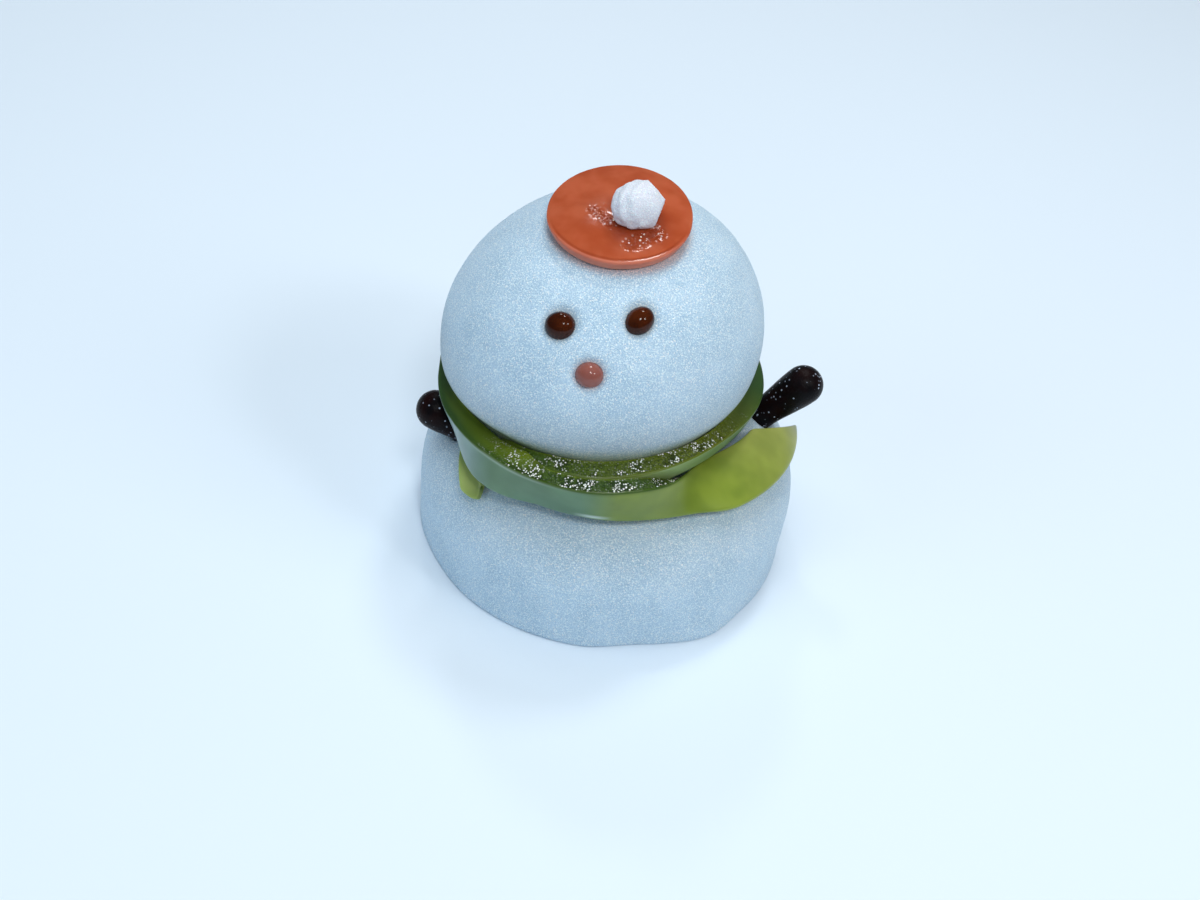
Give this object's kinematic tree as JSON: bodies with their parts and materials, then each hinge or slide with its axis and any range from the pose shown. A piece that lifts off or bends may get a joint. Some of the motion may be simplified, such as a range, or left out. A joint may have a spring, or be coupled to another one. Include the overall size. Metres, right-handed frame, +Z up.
{
  "type": "snowman wagashi",
  "caption": "Snowman sweet shaped from white bean paste: squat body, round head, wrapped green jelly scarf, red jelly hat disc, jelly eyes and nose, stub arms.",
  "frame": {"origin": "centre of the flat foot of the body, on the surface it rests on", "axes": "+Z up, the face looks along -Y, +X to the right as the face is seen from in front"},
  "size_m": [0.0462, 0.0447, 0.049],
  "materials": {
    "paste": "moist matte bean paste, fine grain",
    "green_jelly": "translucent green jelly with a dark cut face",
    "red_jelly": "translucent red jelly, wet",
    "brown_jelly": "glossy dark brown jelly",
    "pink_jelly": "glossy dusty pink jelly",
    "dark_paste": "nearly black moist paste with fine glints"
  },
  "bodies": {
    "root": {"body": "paste", "head": "paste", "hat": "red_jelly", "hat_pompon": "paste", "eye_left": "brown_jelly", "eye_right": "brown_jelly", "nose": "pink_jelly", "scarf": "green_jelly", "arm_left": "dark_paste", "arm_right": "dark_paste"}
  },
  "joints": []
}
